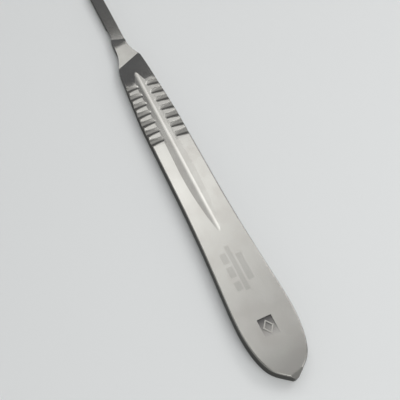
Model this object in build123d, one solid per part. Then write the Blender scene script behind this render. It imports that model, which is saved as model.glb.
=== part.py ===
from build123d import *
import os
from math import asin, atan2, cos, degrees, hypot, radians, sin, tan

# A surgical scalpel handle with the large blade fitting: one steel forging, lying flat.
# X runs from the butt towards the blade fitting, Y across, Z up, all in millimetres.
# Places along the handle are measured from the point of the butt; the finished solid is
# then moved so that the origin is under its middle.
# "Far" is the -Y side and "near" the +Y side. The fitting's plain back faces up.

# Overall sizes
overall_length = 135.0
body_width = 13.5
body_thickness = 3.8
edge_round = 0.35

# Long edges of the body, alike on both sides: straight legs between corners set in from the
# full width, each corner rounded by its radius
point_radius = 1.0
butt_corner_at = 3.1
butt_corner_inset = 2.32
butt_corner_radius = 7.0
butt_turn_at = 6.75
butt_turn_inset = 0.82
butt_turn_radius = 16.5
widest_from = 11.7
widest_from_radius = 30.0
widest_to = 17.2
widest_to_radius = 97.0
waist_at = 39.4
waist_inset = 1.225
waist_radius = 440.0
grip_at = 76.0
grip_inset = 1.4
grip_radius = 120.0

# Facets that bring the body down to the neck, on both faces
crest_at = 89.7
crest_radius = 24.0
facet_drop = 0.75
shoulder_at = 99.0
shoulder_slant = 0.54
shoulder_radius = 3.5

# Neck, whose two sides turn in at corners of their own because the shoulder slants
far_turn_at = 100.4
far_turn_inset = 2.6
far_turn_radius = 5.0
far_flare_end_at = 104.9
far_flare_radius = 10.0
near_turn_at = 96.5
near_turn_inset = 2.75
near_turn_radius = 1.5
near_flare_end_at = 101.0
near_flare_end_edge = 2.05
near_flare_radius = 20.0
neck_edge = 1.9
neck_end_at = 107.6
neck_ramp_length = 2.4
neck_ramp_angle = 5.0
neck_step_length = 1.0
neck_step_radius = 1.0

# Blade fitting: a flat bar whose blade side has a flange with a groove along each edge
tang_far_edge = 2.2
tang_near_edge = 1.3
tang_back_drop = 1.02
tang_step_at = 109.1
tang_step_slant = 0.31
back_plate_thickness = 0.9
groove_height = 0.5
groove_depth = 0.4
flange_thickness = 0.45
flange_start = 116.0
lead_in_length = 4.0

# Grip notches across both faces, cut by a round, crowned tool so that they deepen outwards
notch_count = 7
notch_pitch = 3.29
first_notch_at = 87.85
notch_depth_middle = 0.12
notch_depth_edge = 0.45
notch_radius = 2.5
notch_sweep = 24.0

# Flute along the middle of both faces: a vee with a rounded floor, which sinks along an arc
# from its end to its deepest place and then rises evenly towards the crest of the facets
flute_end_at = 37.8
flute_deepest_at = 56.0
flute_depth = 0.46
flute_crest_depth = 0.31
flute_floor_radius = 2.5
flute_wall_slope = 15.0
flute_overrun = 1.5

# Square stamp in the upper face, with a raised lozenge in it
stamp_at = (12.0, 0.45)
stamp_length = 4.4
stamp_width = 3.5
stamp_depth_neck = 0.32
stamp_depth_butt = 0.06
lozenge_length = 3.3
lozenge_width = 2.6
lozenge_line = 0.42

# Ground bevel at the point of the butt
bevel_at = 1.15
bevel_angle = 35.0
bevel_skew = 12.0

mid_height = body_thickness / 2
leg_share = 0.6
rounding_share = 0.98
clear = 5.0


def rounded_line(corners, radii):
    """A line through corners, each rounded by its radius or by the largest one with room."""
    fitting = []
    taken = 0
    for before, here, after, radius in zip(corners, corners[1:], corners[2:], radii):
        bend = tan(radians((here - before).get_angle(after - here) / 2))
        room = min((here - before).length - taken, leg_share * (after - here).length)
        taken = min(radius * bend, rounding_share * room)
        fitting.append(taken / bend)
    return FilletPolyline(*corners, radius=fitting)


def side_line(side, neck, neck_radii):
    """One long edge from the rounded point, along the body and its neck, to the bar's end."""
    half_width = body_width / 2
    corner_edge = half_width - butt_corner_inset
    flare = atan2(corner_edge, butt_corner_at - point_radius)
    flare -= asin(point_radius / hypot(butt_corner_at - point_radius, corner_edge))
    body = [
        (point_radius * (1 - sin(flare)), point_radius * cos(flare)),
        (butt_corner_at, corner_edge),
        (butt_turn_at, half_width - butt_turn_inset),
        (widest_from, half_width),
        (widest_to, half_width),
        (waist_at, half_width - waist_inset),
        (grip_at, half_width - grip_inset),
    ]
    body_radii = [
        butt_corner_radius,
        butt_turn_radius,
        widest_from_radius,
        widest_to_radius,
        waist_radius,
        grip_radius,
    ]
    corners = [Vector(x, side * y) for x, y in body + neck]
    return rounded_line(corners, body_radii + neck_radii)


def plan_outline():
    """The handle seen from above, with its neck and the bar of the blade fitting."""
    half_width = body_width / 2
    half_bar = (tang_far_edge + tang_near_edge) / 2
    bar_end = overall_length - half_bar
    step_near = tang_step_at + tang_step_slant * tang_near_edge
    near_neck = [
        (near_turn_at, half_width - near_turn_inset),
        (near_flare_end_at, near_flare_end_edge),
        (step_near, neck_edge),
        (step_near + neck_step_length, tang_near_edge),
        (bar_end, tang_near_edge),
    ]
    near_radii = [near_turn_radius, near_flare_radius, neck_step_radius, neck_step_radius]
    far_neck = [
        (far_turn_at, half_width - far_turn_inset),
        (far_flare_end_at, tang_far_edge),
        (bar_end, tang_far_edge),
    ]
    near = side_line(1, near_neck, near_radii)
    far = side_line(-1, far_neck, [far_turn_radius, far_flare_radius])
    point = ThreePointArc(far @ 0, (0, 0), near @ 0)
    bar_tip = ThreePointArc(near @ 1, (overall_length, tang_near_edge - half_bar), far @ 1)
    return make_face([point, near, bar_tip, far])


def side_profile(shoulder_x):
    """The handle seen from the side, where its facets reach the neck at shoulder_x."""
    neck_top = body_thickness - facet_drop
    upper = FilletPolyline(
        (-clear, body_thickness),
        (crest_at, body_thickness),
        (shoulder_x, neck_top),
        (overall_length + clear, neck_top),
        radius=[crest_radius, shoulder_radius],
    )
    lower = upper.mirror(Plane.XZ.offset(-mid_height))
    return make_face([upper, lower, Line(upper @ 0, lower @ 0), Line(upper @ 1, lower @ 1)])


def thickness_form():
    """A slab wider than the handle, with the facets and the slanting shoulder."""
    reach = body_width / 2
    slant = shoulder_slant * reach
    far = Plane.XZ.offset(reach) * side_profile(shoulder_at + slant)
    near = Plane.XZ.offset(-reach) * side_profile(shoulder_at - slant)
    return loft([far, near], ruled=True)


def forging():
    """The outline at full thickness with its edges broken, brought down to the neck."""
    blank = extrude(plan_outline(), body_thickness)
    rims = blank.faces().filter_by(Axis.Z).edges()
    return fillet(rims, edge_round) & thickness_form()


def fitting_cutters():
    """What is milled from the neck's end to leave the bar of the blade fitting."""
    reach = body_width
    length = overall_length + clear - neck_end_at
    neck_top = body_thickness - facet_drop
    bar_top = body_thickness - tang_back_drop
    seat = bar_top - back_plate_thickness
    flange_top = seat - groove_height
    flange_face = flange_top - flange_thickness
    slant = tang_step_slant * reach

    # The neck's end falls away gently before the step down to the bar
    ramp = Box(neck_ramp_length, reach, clear, align=(Align.MIN, Align.CENTER, Align.MIN))
    ramp = Pos(neck_end_at, 0, neck_top) * Rot(0, neck_ramp_angle, 0) * ramp
    step_plan = make_face(
        Polyline(
            (tang_step_at - slant, -reach),
            (tang_step_at + slant, reach),
            (overall_length + clear, reach),
            (overall_length + clear, -reach),
            close=True,
        )
    )
    back = extrude(Pos(0, 0, bar_top) * step_plan, clear)
    blade_side = extrude(Pos(0, 0, flange_face) * step_plan, -clear)

    # The blade's tail lies in a seat between the step and the flange
    tail_seat = extrude(Pos(0, 0, seat) * step_plan, -clear)
    tail_seat -= Pos(flange_start, 0, 0) * Box(
        length, 2 * reach, 2 * clear, align=(Align.MIN, Align.CENTER, Align.CENTER)
    )

    grooves = []
    for side, edge in ((-1, tang_far_edge), (1, tang_near_edge)):
        inner = edge - groove_depth
        groove = Box(
            length, clear, groove_height, align=(Align.MIN, Align.MIN, Align.MAX)
        )
        groove = Pos(flange_start, inner, seat) * groove
        grooves.append(groove if side > 0 else mirror(groove, Plane.XZ))

    # The flange thins towards the tip so that a blade rides up onto it
    lead_in = Polyline(
        (overall_length - lead_in_length, flange_face),
        (overall_length, flange_top),
        (overall_length + clear, flange_top),
        (overall_length + clear, flange_face - clear),
        (overall_length - lead_in_length, flange_face - clear),
        close=True,
    )
    lead_in = extrude(Plane.XZ * make_face(lead_in), reach, both=True)
    return [ramp, mirror(ramp, mid_plane), back, blade_side, tail_seat, lead_in] + grooves


def notch_cutter():
    """One grip notch in the upper face, centred on X = 0."""
    grip_edge = body_width / 2 - grip_inset
    crown_radius = grip_edge**2 / (2 * (notch_depth_edge - notch_depth_middle))

    # Turned about an axis along the handle, below the face
    section = Plane.XZ * (Pos(0, crown_radius + notch_radius) * Circle(notch_radius))
    turned = Rot(-notch_sweep / 2, 0, 0) * revolve(section, Axis.X, notch_sweep)
    return Pos(0, 0, body_thickness - notch_depth_middle - crown_radius) * turned


def flute_cutter():
    """The vee that leaves the flute in the upper face, turned and then drawn straight."""
    sinking = flute_deepest_at - flute_end_at
    rising = crest_at - flute_deepest_at
    path_radius = (sinking**2 + flute_depth**2) / (2 * flute_depth)
    sink_angle = degrees(asin(sinking / path_radius))
    rise_angle = degrees(atan2(flute_depth - flute_crest_depth, rising))

    # The vee's floor rests at height 0
    wall = radians(flute_wall_slope)
    turn_y = flute_floor_radius * sin(wall)
    turn_z = flute_floor_radius * (1 - cos(wall))
    top_y = turn_y + (clear - turn_z) / tan(wall)
    floor = ThreePointArc((-turn_y, turn_z), (0, 0), (turn_y, turn_z))
    walls = Polyline(floor @ 1, (top_y, clear), (-top_y, clear), floor @ 0)
    section = Plane.YZ * (Pos(0, -path_radius) * make_face([floor, walls]))

    # Turned about an axis across the handle, high above its deepest place, and on past its end
    section = Rot(0, -rise_angle, 0) * section
    straight = extrude(section, rising + clear)
    turned = revolve(section, Axis.Y, rise_angle + sink_angle + flute_overrun)
    top = body_thickness - flute_depth + path_radius
    return Pos(flute_deepest_at, 0, top) * (turned + straight)


def stamp_cutter():
    """The square struck mark, deeper towards the neck, around a raised lozenge."""
    x, y = stamp_at
    half = stamp_length / 2
    side = Polyline(
        (-half, -stamp_depth_butt),
        (half, -stamp_depth_neck),
        (half, clear),
        (-half, clear),
        close=True,
    )
    recess = extrude(Plane.XZ * make_face(side), stamp_width / 2, both=True)
    inner_length = lozenge_length - 2 * lozenge_line
    inner_width = lozenge_width - 2 * lozenge_line
    ring = lozenge(lozenge_length, lozenge_width) - lozenge(inner_length, inner_width)
    ring = extrude(ring, clear, both=True)
    return Pos(x, y, body_thickness) * (recess - ring)


def lozenge(length, width):
    """A flat four-cornered figure on its point."""
    corners = [(length / 2, 0), (0, width / 2), (-length / 2, 0), (0, -width / 2)]
    return make_face(Polyline(corners, close=True))


def point_bevel():
    """The flat ground across the upper edge at the point of the butt."""
    block = Box(2 * clear, body_width, clear, align=(Align.MAX, Align.CENTER, Align.MIN))
    return Pos(bevel_at, 0, body_thickness) * Rot(0, 0, bevel_skew) * Rot(0, -bevel_angle, 0) * block


mid_plane = Plane.XY.offset(mid_height)

notch = notch_cutter()
flute = flute_cutter()
cutters = fitting_cutters() + [flute, mirror(flute, mid_plane), stamp_cutter(), point_bevel()]
for index in range(notch_count):
    place = Pos(first_notch_at - index * notch_pitch, 0, 0)
    cutters += [place * notch, place * mirror(notch, mid_plane)]

handle = forging()
for cutter in cutters:
    handle -= cutter

handle = Pos(-overall_length / 2, 0, 0) * handle
os.makedirs("parts", exist_ok=True)
export_step(handle, "parts/scalpel_handle.step")
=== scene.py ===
from math import asin, atan2, cos, pi, radians, sin, tan

import bmesh
import bpy
from mathutils import Matrix, Vector


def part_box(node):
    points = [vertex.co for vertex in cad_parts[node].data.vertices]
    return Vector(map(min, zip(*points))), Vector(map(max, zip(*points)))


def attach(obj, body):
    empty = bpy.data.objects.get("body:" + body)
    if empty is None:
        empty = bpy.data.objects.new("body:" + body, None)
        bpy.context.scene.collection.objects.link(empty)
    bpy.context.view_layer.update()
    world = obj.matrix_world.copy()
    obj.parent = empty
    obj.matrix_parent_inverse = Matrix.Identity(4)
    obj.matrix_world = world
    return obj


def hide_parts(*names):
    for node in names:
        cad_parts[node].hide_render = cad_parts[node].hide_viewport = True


# A forged steel scalpel handle lying on a pale table, seen from above and behind its butt.
# A copy of the CAD handle gets its curved cuts again from finer cutters, and its satin
# finish. Places along the handle are counted from the butt's point. Sizes are in millimetres
# and angles in degrees, except where a note says metres.

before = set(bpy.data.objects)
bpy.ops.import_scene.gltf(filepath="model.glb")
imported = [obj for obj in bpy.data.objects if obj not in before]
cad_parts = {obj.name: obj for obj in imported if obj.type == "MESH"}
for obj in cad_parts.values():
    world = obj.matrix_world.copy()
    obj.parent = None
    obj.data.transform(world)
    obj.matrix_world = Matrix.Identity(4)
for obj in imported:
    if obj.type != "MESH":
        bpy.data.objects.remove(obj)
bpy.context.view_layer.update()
mm = 0.001
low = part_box("scalpel_handle")[0]
print("frame loaded")


# Colours and nodes

def linearColour(hexText):
    channels = [int(hexText[i:i + 2], 16) / 255 for i in (0, 2, 4)]
    curve = [c / 12.92 if c <= 0.04045 else ((c + 0.055) / 1.055) ** 2.4 for c in channels]
    return (*curve, 1.0)


def addNode(tree, kind, settings, links):
    # A number or a socket's name sets or links that socket, and another name sets the node
    node = tree.nodes.new(kind)
    for name, value in settings.items():
        if name == "stops":
            elements = node.color_ramp.elements
            while len(elements) < len(value):
                elements.new(0.5)
            for element, (position, level) in zip(elements, value):
                element.position = position
                element.color = (level, level, level, 1)
        elif isinstance(name, int) or name in node.inputs:
            node.inputs[name].default_value = value
        else:
            setattr(node, name, value)
    for name, source in links.items():
        tree.links.new(source, node.inputs[name])
    return node


def newMaterial(name):
    material = bpy.data.materials.new(name)
    material.use_nodes = True
    tree = material.node_tree
    return material, tree, tree.nodes["Principled BSDF"]


def place(x, y, z):
    # From along the handle, across it and up, to the frame's own metres
    return Vector((low.x + x * mm, y * mm, z * mm))


# Camera, solved from the handle's outline in the photograph

camera = {
    "at": (-10.76, 27.19, 113.95),
    "aim": (46.88, 0.76, 3.8),
    "lens": 46.26,
    "sensor": 36,
    "clipStart": 5,
}
cameraData = bpy.data.cameras.new("camera")
cameraData.lens = camera["lens"]
cameraData.sensor_width = camera["sensor"]
cameraData.clip_start = camera["clipStart"] * mm
cameraObject = bpy.data.objects.new("camera", cameraData)
bpy.context.scene.collection.objects.link(cameraObject)
cameraObject.location = place(*camera["at"])
view = place(*camera["aim"]) - cameraObject.location
cameraObject.rotation_euler = view.to_track_quat("-Z", "Y").to_euler()
bpy.context.scene.camera = cameraObject
print("camera set")


# Handle: the CAD solid with its notches and flutes cut again, this time finely

handle = {
    "length": 135,
    "width": 13.5,
    "thickness": 3.8,
    "mergeWithin": 0.0001,
    "sharpAngle": 24,
    "rimAngle": 3,
    "deeper": 0.03,  # below the CAD cuts, so that none of their facets stay
    "proud": 0.1,  # how far a cutter stands out of the face
}
notch = {
    "count": 7,
    "pitch": 3.29,
    "firstAt": 87.85,
    "radius": 2.5,
    "depthMiddle": 0.12,
    "depthEdge": 0.45,
    "gripEdge": 5.35,
    "sweep": 24,
    "segments": 96,
    "steps": 28,
}
flute = {
    "endAt": 37.8,
    "deepestAt": 56.0,
    "crestAt": 89.7,
    "depth": 0.46,
    "crestDepth": 0.31,
    "floorRadius": 2.5,
    "wallSlope": 15,
    "floorSegments": 12,
    "overrun": 1.5,
    "steps": 48,
    "pastCrest": 5,
}


def everything(bm):
    return bm.verts[:] + bm.edges[:] + bm.faces[:]


def newCutters(name, bm):
    # The same cuts in the lower face, then from millimetres along the handle to the frame
    middle = Matrix.Translation((0, 0, handle["thickness"] / 2))
    bmesh.ops.mirror(bm, geom=everything(bm), matrix=middle, axis="Z", merge_dist=-1)
    bmesh.ops.recalc_face_normals(bm, faces=bm.faces)
    bmesh.ops.scale(bm, vec=(mm, mm, mm), verts=bm.verts)
    bmesh.ops.translate(bm, vec=(low.x, 0, 0), verts=bm.verts)
    for face in bm.faces:
        face.material_index = 1  # so that the cuts are known again afterwards
    mesh = bpy.data.meshes.new(name)
    bm.to_mesh(mesh)
    bm.free()
    return bpy.data.objects.new(name, mesh)


def notchCutters():
    # A round bar swept about an axis along the handle, once for each notch
    crown = notch["gripEdge"] ** 2 / (2 * (notch["depthEdge"] - notch["depthMiddle"]))
    bm = bmesh.new()
    bmesh.ops.create_circle(
        bm, cap_ends=True, segments=notch["segments"], radius=notch["radius"] + handle["deeper"],
    )
    bmesh.ops.rotate(bm, matrix=Matrix.Rotation(radians(90), 3, "X"), verts=bm.verts)
    bmesh.ops.translate(bm, vec=(0, 0, crown + notch["radius"]), verts=bm.verts)
    bmesh.ops.bisect_plane(
        bm, geom=everything(bm), clear_outer=True,
        plane_co=(0, 0, crown + notch["depthEdge"] + handle["proud"]), plane_no=(0, 0, 1),
    )
    sweep = radians(notch["sweep"])
    bmesh.ops.rotate(bm, matrix=Matrix.Rotation(-sweep / 2, 3, "X"), verts=bm.verts)
    bmesh.ops.spin(
        bm, geom=everything(bm), axis=(1, 0, 0), angle=sweep, steps=notch["steps"],
    )
    up = handle["thickness"] - notch["depthMiddle"] - crown
    bmesh.ops.translate(bm, vec=(notch["firstAt"], 0, up), verts=bm.verts)
    first = everything(bm)
    for index in range(1, notch["count"]):
        copied = bmesh.ops.duplicate(bm, geom=first)["geom"]
        moved = [part for part in copied if isinstance(part, bmesh.types.BMVert)]
        bmesh.ops.translate(bm, vec=(-index * notch["pitch"], 0, 0), verts=moved)
    return newCutters("notchCutters", bm)


def fluteCutters():
    # A vee with a round floor, which sinks along an arc and then rises evenly to the crest
    sinking = flute["deepestAt"] - flute["endAt"]
    rising = flute["crestAt"] - flute["deepestAt"]
    pathRadius = (sinking ** 2 + flute["depth"] ** 2) / (2 * flute["depth"])
    sinkAngle = asin(sinking / pathRadius)
    riseAngle = atan2(flute["depth"] - flute["crestDepth"], rising)
    wall = radians(flute["wallSlope"])
    turnY = flute["floorRadius"] * sin(wall)
    turnZ = flute["floorRadius"] * (1 - cos(wall))
    top = flute["depth"] + handle["deeper"] + handle["proud"]
    topY = turnY + (top - turnZ) / tan(wall)
    bm = bmesh.new()
    start = bm.verts.new((0, turnY, turnZ))
    bmesh.ops.spin(
        bm, geom=[start], cent=(0, 0, flute["floorRadius"]), axis=(1, 0, 0),
        angle=-2 * wall, steps=flute["floorSegments"],
    )
    bm.verts.new((0, -topY, top))
    bm.verts.new((0, topY, top))
    bm.faces.new(bm.verts)
    axis = (0, 0, pathRadius)
    bmesh.ops.rotate(bm, cent=axis, matrix=Matrix.Rotation(-riseAngle, 3, "Y"), verts=bm.verts)
    bmesh.ops.spin(
        bm, geom=everything(bm), cent=axis, axis=(0, 1, 0),
        angle=riseAngle + sinkAngle + radians(flute["overrun"]), steps=flute["steps"],
    )
    cap = max(bm.faces, key=lambda face: face.calc_center_median().x)
    drawn = bmesh.ops.extrude_face_region(bm, geom=[cap])["geom"]
    bmesh.ops.delete(bm, geom=[cap], context="FACES_ONLY")
    ends = [part for part in drawn if isinstance(part, bmesh.types.BMVert)]
    along = Vector((cos(riseAngle), 0, sin(riseAngle))) * (rising + flute["pastCrest"])
    bmesh.ops.translate(bm, vec=along, verts=ends)
    floor = handle["thickness"] - flute["depth"] - handle["deeper"]
    bmesh.ops.translate(bm, vec=(flute["deepestAt"], 0, floor), verts=bm.verts)
    return newCutters("fluteCutters", bm)


def openEdges(bm):
    return sum(not edge.is_manifold for edge in bm.edges)


# The CAD mesh is loose triangles, which are merged in the copy
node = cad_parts["scalpel_handle"]
bm = bmesh.new()
bm.from_mesh(node.data)
bmesh.ops.remove_doubles(bm, verts=bm.verts, dist=handle["mergeWithin"] * mm)
print("CAD edges left open:", openEdges(bm))
mesh = bpy.data.meshes.new("scalpelHandle")
bm.to_mesh(mesh)
bm.free()
mesh.materials.clear()
mesh.materials.append(None)  # for the CAD's own faces
mesh.materials.append(None)  # for the faces that the cutters leave
handleObject = bpy.data.objects.new("scalpelHandle", mesh)
bpy.context.scene.collection.objects.link(handleObject)
cutters = [notchCutters(), fluteCutters()]
for cutter in cutters:
    bpy.context.scene.collection.objects.link(cutter)
    cut = handleObject.modifiers.new(cutter.name, "BOOLEAN")
    cut.operation = "DIFFERENCE"
    cut.solver = "EXACT"
    cut.material_mode = "INDEX"
    cut.object = cutter
cutObject = handleObject.evaluated_get(bpy.context.evaluated_depsgraph_get())
handleObject.data = bpy.data.meshes.new_from_object(cutObject)
handleObject.modifiers.clear()
for cutter in cutters:
    bpy.data.meshes.remove(cutter.data)

# Sharp at corners, and all along the rims of the cuts
bm = bmesh.new()
bm.from_mesh(handleObject.data)
for edge in bm.edges:
    faces = edge.link_faces
    rim = faces[0].material_index != faces[1].material_index
    edge.smooth = edge.calc_face_angle() < radians(handle["rimAngle" if rim else "sharpAngle"])
for face in bm.faces:
    face.smooth = True
    face.material_index = 0
print("handle cut:", len(bm.faces), "faces,", openEdges(bm), "open edges")
bm.to_mesh(handleObject.data)
bm.free()
smooth = handleObject.modifiers.new("evenShading", "WEIGHTED_NORMAL")
smooth.mode = "FACE_AREA"
smooth.keep_sharp = True


# Finish

steel = {
    "colour": "c2c1bc",
    "mottledColour": "bcbab5",
    "mottleSize": 5,
    "mottleRange": (0.4, 0.7),
    "roughness": (0.15, 0.18),
    "anisotropy": 1.0,
    "lineWidth": 0.3,
    "lineLength": 14,
    "lineDepth": 0.0005,
    "lineRange": (0.3, 0.7),
    # The notches' colour is their duller forged skin, and painted shade where they are deep
    "notchSkinAndShadeColour": "908f8b",
    "notchRoughness": 0.17,
    "notchDepths": (0.06, 0.22),
    "notchEdge": 0.3,
    "gripWear": 0.2,
    "beltInFlute": 1.5,
    "beltEdge": 0.4,
    # Painted shade on the narrow sides and the rounded long edges: its colour, reflection tint and the
    # slopes it covers
    "sideShadeColour": "72716d",
    "sideShadeTint": "acacac",
    "sideShadeSlopes": (0.35, 0.92),
}
# Etched rows on the upper face, each from and to along the handle, and from and to across it
etching = {
    "rows": (
        ((23.3, 30.3), (-2.1, -0.6)),
        ((21.3, 33.0), (-0.1, 1.05)),
        ((28.8, 31.5), (1.4, 2.95)),
        ((25.2, 27.85), (1.4, 2.95)),
        ((21.8, 23.95), (1.4, 2.95)),
    ),
    "edge": 0.25,
    "colour": "868480",
    "strength": 0.25,
    "within": 0.02,
}
stamp = {
    "at": (12.0, 0.45),
    "size": (4.4, 3.5),
    "margin": 0.1,
    "edge": 0.02,
    # the colour of the painted shade in the struck square
    "colour": "585757",
    "depths": (0.03, 0.3),
}


def insideBox(tree, x, y, xSpan, ySpan, edge):
    # 1 inside a box seen from above, 0 outside, with a soft edge
    inside = None
    for source, (start, end) in ((x, xSpan), (y, ySpan)):
        middle = addNode(
            tree, "ShaderNodeMath", {"operation": "SUBTRACT", 1: (start + end) / 2}, {0: source},
        )
        away = addNode(tree, "ShaderNodeMath", {"operation": "ABSOLUTE"}, {0: middle.outputs[0]})
        half = (end - start) / 2
        mask = addNode(
            tree, "ShaderNodeMapRange",
            {"From Min": half - edge / 2, "From Max": half + edge / 2, "To Min": 1.0, "To Max": 0.0},
            {"Value": away.outputs[0]},
        ).outputs[0]
        if inside:
            mask = addNode(
                tree, "ShaderNodeMath", {"operation": "MULTIPLY"}, {0: inside, 1: mask},
            ).outputs[0]
        inside = mask
    return inside


# Stainless steel, forged, then belt ground along its length and left satin: fine lines along
# the handle spread a reflection widely across it and hardly at all along it
steelMaterial, tree, shader = newMaterial("satinGroundStainlessSteel")
shader.inputs["Metallic"].default_value = 1.0
shader.inputs["Anisotropic"].default_value = steel["anisotropy"]
acrossHandle = addNode(tree, "ShaderNodeCombineXYZ", {"Y": 1.0}, {})
tree.links.new(acrossHandle.outputs["Vector"], shader.inputs["Tangent"])
coordinates = addNode(tree, "ShaderNodeTexCoord", {}, {})
stations = addNode(
    tree, "ShaderNodeMapping",
    {"Scale": (1 / mm, 1 / mm, 1 / mm), "Location": (-low.x / mm, 0, 0)},
    {"Vector": coordinates.outputs["Object"]},
).outputs["Vector"]
x, y, z = addNode(tree, "ShaderNodeSeparateXYZ", {}, {"Vector": stations}).outputs

# The real lines are about 0.05 mm wide, and are drawn wider so that they show
stretched = addNode(
    tree, "ShaderNodeMapping",
    {"Scale": (1 / steel["lineLength"], 1 / steel["lineWidth"], 1 / steel["lineWidth"])},
    {"Vector": stations},
)
lines = addNode(
    tree, "ShaderNodeTexNoise", {"Scale": 1.0, "Detail": 3.0, "Roughness": 0.6},
    {"Vector": stretched.outputs["Vector"]},
)

# A faint mottle in patches of a few millimetres breaks up the even grey
mottle = addNode(
    tree, "ShaderNodeTexNoise", {"Scale": 1 / steel["mottleSize"], "Detail": 2.0},
    {"Vector": stations},
)
patches = addNode(
    tree, "ShaderNodeMapRange",
    {"From Min": steel["mottleRange"][0], "From Max": steel["mottleRange"][1]},
    {"Value": mottle.outputs[0]},
)
colour = addNode(
    tree, "ShaderNodeMix",
    {"data_type": "RGBA", 6: linearColour(steel["colour"]), 7: linearColour(steel["mottledColour"])},
    {0: patches.outputs[0]},
).outputs[2]

# The belt reaches the flute, but not far into the notches, which keep the duller, rougher skin of
# the forging, and a little of it is left all over the grip. Deeper in, the notches are also painted
# darker, as painted shade
fromMiddle = addNode(
    tree, "ShaderNodeMath", {"operation": "SUBTRACT", 1: handle["thickness"] / 2}, {0: z},
)
height = addNode(tree, "ShaderNodeMath", {"operation": "ABSOLUTE"}, {0: fromMiddle.outputs[0]})
sunk = addNode(
    tree, "ShaderNodeMapRange",
    {
        "From Min": handle["thickness"] / 2 - steel["notchDepths"][0],
        "From Max": handle["thickness"] / 2 - steel["notchDepths"][1],
        "To Min": steel["gripWear"], "To Max": 1.0,
    },
    {"Value": height.outputs[0]},
)
gripSpan = (
    notch["firstAt"] - (notch["count"] - 0.5) * notch["pitch"],
    notch["firstAt"] + 0.5 * notch["pitch"],
)
widthSpan = (-handle["width"] / 2, handle["width"] / 2)
fluteSpan = (-steel["beltInFlute"], steel["beltInFlute"])
inGrip = insideBox(tree, x, y, gripSpan, widthSpan, steel["notchEdge"])
inFlute = insideBox(tree, x, y, (0, handle["length"]), fluteSpan, steel["beltEdge"])
besideFlute = addNode(tree, "ShaderNodeMath", {"operation": "SUBTRACT", 0: 1.0}, {1: inFlute})
inNotches = addNode(
    tree, "ShaderNodeMath", {"operation": "MULTIPLY"}, {0: inGrip, 1: besideFlute.outputs[0]},
)
notchSkinAndShade = addNode(
    tree, "ShaderNodeMath", {"operation": "MULTIPLY"},
    {0: inNotches.outputs[0], 1: sunk.outputs[0]},
).outputs[0]

# Painted shade: the narrow sides and the rounding of the long edges are painted darker, and tinted to
# reflect less, most of all where they are seen at a low angle
normal = addNode(tree, "ShaderNodeSeparateXYZ", {}, {"Vector": coordinates.outputs["Normal"]})
level = addNode(tree, "ShaderNodeMath", {"operation": "ABSOLUTE"}, {0: normal.outputs["Z"]})
paintedSideShade = addNode(
    tree, "ShaderNodeMapRange",
    {
        "From Min": steel["sideShadeSlopes"][0], "From Max": steel["sideShadeSlopes"][1],
        "To Min": 1.0, "To Max": 0.0,
    },
    {"Value": level.outputs[0]},
).outputs[0]
sideShadeTintMix = addNode(
    tree, "ShaderNodeMix",
    {"data_type": "RGBA", 6: linearColour("ffffff"), 7: linearColour(steel["sideShadeTint"])},
    {0: paintedSideShade},
)
tree.links.new(sideShadeTintMix.outputs[2], shader.inputs["Specular Tint"])

# Generic etched rows, a matt grey on the satin
upperFace = addNode(
    tree, "ShaderNodeMath",
    {"operation": "GREATER_THAN", 1: handle["thickness"] - etching["within"]}, {0: z},
)
inRows = None
for xSpan, ySpan in etching["rows"]:
    row = insideBox(tree, x, y, xSpan, ySpan, etching["edge"])
    if inRows:
        row = addNode(tree, "ShaderNodeMath", {"operation": "MAXIMUM"}, {0: inRows, 1: row}).outputs[0]
    inRows = row
etched = addNode(
    tree, "ShaderNodeMath", {"operation": "MULTIPLY"}, {0: inRows, 1: upperFace.outputs[0]},
)
faint = addNode(
    tree, "ShaderNodeMath", {"operation": "MULTIPLY", 1: etching["strength"]},
    {0: etched.outputs[0]},
).outputs[0]

# Painted shade: the struck square is painted darker, most where it is deepest
depth = addNode(
    tree, "ShaderNodeMapRange",
    {
        "From Min": handle["thickness"] - stamp["depths"][0],
        "From Max": handle["thickness"] - stamp["depths"][1],
    },
    {"Value": z},
)
stampSpans = [
    (at - size / 2 - stamp["margin"], at + size / 2 + stamp["margin"])
    for at, size in zip(stamp["at"], stamp["size"])
]
square = insideBox(tree, x, y, *stampSpans, stamp["edge"])
paintedStampShade = addNode(
    tree, "ShaderNodeMath", {"operation": "MULTIPLY"}, {0: square, 1: depth.outputs[0]},
).outputs[0]

# Over the steel go the notches' skin with its painted shade, the painted shade of the sides, the
# etched rows and the painted shade in the struck square
for mask, hexText in (
    (notchSkinAndShade, steel["notchSkinAndShadeColour"]),
    (paintedSideShade, steel["sideShadeColour"]),
    (faint, etching["colour"]),
    (paintedStampShade, stamp["colour"]),
):
    colour = addNode(
        tree, "ShaderNodeMix", {"data_type": "RGBA", 7: linearColour(hexText)},
        {0: mask, 6: colour},
    ).outputs[2]
tree.links.new(colour, shader.inputs["Base Color"])

rough = addNode(
    tree, "ShaderNodeMapRange",
    {
        "From Min": steel["lineRange"][0], "From Max": steel["lineRange"][1],
        "To Min": steel["roughness"][0], "To Max": steel["roughness"][1],
    },
    {"Value": lines.outputs[0]},
)
rougher = addNode(
    tree, "ShaderNodeMath", {"operation": "MULTIPLY_ADD", 1: steel["notchRoughness"]},
    {0: notchSkinAndShade, 2: rough.outputs[0]},
)
tree.links.new(rougher.outputs[0], shader.inputs["Roughness"])
ground = addNode(
    tree, "ShaderNodeBump", {"Distance": steel["lineDepth"] * mm}, {"Height": lines.outputs[0]},
)
tree.links.new(ground.outputs["Normal"], shader.inputs["Normal"])

handleObject.data.materials.clear()
handleObject.data.materials.append(steelMaterial)
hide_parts("scalpel_handle")
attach(handleObject, "root")
print("steel finished")


# Table and light

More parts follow.
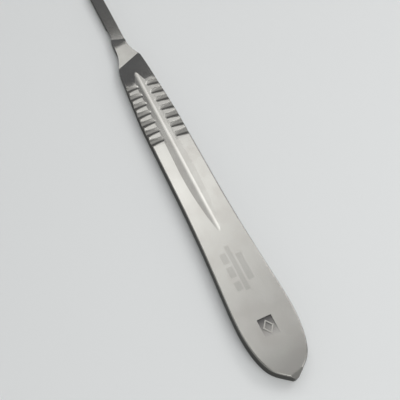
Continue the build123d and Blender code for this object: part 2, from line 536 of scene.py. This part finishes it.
# Laminate, pale and finely textured, which looks dull and mirrors hardly anything
table = {
    "size": 4.0,  # metres
    "colour": "e4e6e6",
    "roughness": 0.6,
    "specular": 0.2,
}
bm = bmesh.new()
bmesh.ops.create_grid(bm, x_segments=1, y_segments=1, size=table["size"] / 2)
tableMesh = bpy.data.meshes.new("table")
bm.to_mesh(tableMesh)
bm.free()
tableObject = bpy.data.objects.new("table", tableMesh)
bpy.context.scene.collection.objects.link(tableObject)
material, tree, shader = newMaterial("paleLaminate")
shader.inputs["Base Color"].default_value = linearColour(table["colour"])
shader.inputs["Roughness"].default_value = table["roughness"]
shader.inputs["Specular IOR Level"].default_value = table["specular"]
tableMesh.materials.append(material)

# Softboxes that hang level: a large one beyond the blade end, one behind the butt and one
# on the far side. Their own sizes are in metres, and the levels fade each of them along the
# handle and across it
softboxes = {
    "frontSoftbox": {
        "at": (265, -90, 500),
        "size": (0.61, 0.62),
        "radiance": 2.15,
        "along": (
            (0.0, 0.14), (0.07, 0.22), (0.11, 0.35), (0.2, 0.42), (0.34, 0.6),
            (0.49, 0.86), (0.62, 0.76), (0.92, 0.46), (1.0, 0.8),
        ),
        "across": (
            (0.0, 0.2), (0.27, 0.4), (0.41, 0.62), (0.48, 0.68), (0.56, 1.0),
            (0.66, 1.15), (0.76, 0.88), (0.86, 0.58), (1.0, 0.36),
        ),
    },
    "rearSoftbox": {
        "at": (-380, -130, 500),
        "size": (0.64, 0.4),
        "radiance": 3.8,
        "along": ((0.0, 1.0), (0.55, 1.0), (0.78, 0.42), (1.0, 0.3)),
        "across": ((0.0, 1.0), (1.0, 1.0)),
    },
    "farSoftbox": {
        "at": (240, -450, 500),
        "size": (0.6, 0.3),
        "radiance": 3.8,
        "along": ((0.0, 0.7), (0.1, 1.0), (0.45, 1.0), (0.62, 0.2), (1.0, 0.16)),
        "across": ((0.0, 1.0), (1.0, 1.0)),
    },
}
for name, softbox in softboxes.items():
    data = bpy.data.lights.new(name, "AREA")
    data.shape = "RECTANGLE"
    data.size, data.size_y = softbox["size"]
    data.energy = softbox["radiance"] * data.size * data.size_y * pi
    data.use_nodes = True
    tree = data.node_tree
    panel = addNode(tree, "ShaderNodeTexCoord", {}, {})
    split = addNode(tree, "ShaderNodeSeparateXYZ", {}, {"Vector": panel.outputs["UV"]})
    along, across = (
        addNode(tree, "ShaderNodeValToRGB", {"stops": softbox[way]}, {0: split.outputs[axis]})
        for way, axis in (("along", "X"), ("across", "Y"))
    )
    level = addNode(
        tree, "ShaderNodeMix", {"data_type": "RGBA", "blend_type": "MULTIPLY", 0: 1.0},
        {6: along.outputs["Color"], 7: across.outputs["Color"]},
    )
    tree.links.new(level.outputs[2], tree.nodes["Emission"].inputs["Color"])
    lampObject = bpy.data.objects.new(name, data)
    bpy.context.scene.collection.objects.link(lampObject)
    lampObject.location = Vector(softbox["at"]) * mm

# Room: pale walls under a dimmer ceiling, with a darker band beyond the blade end
room = {
    "upwards": ((0.0, 0.5), (0.3, 0.44), (0.56, 0.22), (0.75, 0.18)),
    "dark": "6d6e71",
    "darkFrom": ((0.58, 0.0), (0.72, 1.0)),
    "darkBand": ((0.25, 0.0), (0.42, 1.0), (0.61, 1.0), (0.67, 0.0)),
}
world = bpy.data.worlds.new("room")
world.use_nodes = True
tree = world.node_tree
direction = addNode(tree, "ShaderNodeTexCoord", {}, {})
split = addNode(tree, "ShaderNodeSeparateXYZ", {}, {"Vector": direction.outputs["Generated"]})
pale, ahead, band = (
    addNode(tree, "ShaderNodeValToRGB", {"stops": room[part]}, {0: split.outputs[axis]})
    for part, axis in (("upwards", "Z"), ("darkFrom", "X"), ("darkBand", "Z"))
)
dark = addNode(
    tree, "ShaderNodeMath", {"operation": "MULTIPLY"},
    {0: ahead.outputs["Color"], 1: band.outputs["Color"]},
)
shade = addNode(
    tree, "ShaderNodeMix", {"data_type": "RGBA", 7: linearColour(room["dark"])},
    {0: dark.outputs[0], 6: pale.outputs["Color"]},
)
tree.links.new(shade.outputs[2], tree.nodes["Background"].inputs["Color"])
bpy.context.scene.world = world
bpy.context.scene.view_settings.view_transform = "Standard"
print("lights set")
